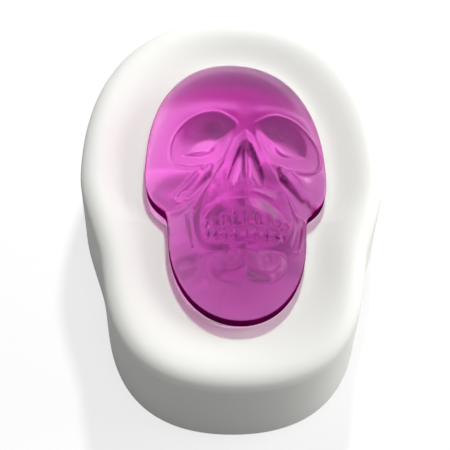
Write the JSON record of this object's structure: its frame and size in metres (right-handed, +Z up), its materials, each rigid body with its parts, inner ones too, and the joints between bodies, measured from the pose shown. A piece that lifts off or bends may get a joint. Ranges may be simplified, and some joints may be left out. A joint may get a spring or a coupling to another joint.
{
  "type": "casting mould",
  "caption": "Hollow ceramic kiln mould with a skull-shaped cavity in its dished top, and the clear magenta glass skull cast in it lying face up over the mouth.",
  "frame": {"origin": "centre of the foot's bounding rectangle, on the surface the mould stands on", "axes": "+Z up out of the cavity's mouth, +Y towards the crown of the skull, +X to the right seen from the chin"},
  "size_m": [0.1122, 0.153, 0.0615],
  "materials": {
    "cast_ceramic": "fired, unglazed, coated with pale release wash, matt",
    "cast_glass": "fire-polished, clear magenta"
  },
  "bodies": {
    "mould": {"mould_body": "cast_ceramic"},
    "casting": {"glass_casting": "cast_glass"}
  },
  "joints": [
    {"name": "casting_lift", "type": "slide", "parent": "mould", "child": "casting", "axis": [0, 0, 1], "range_m": [0, 0.06]}
  ]
}
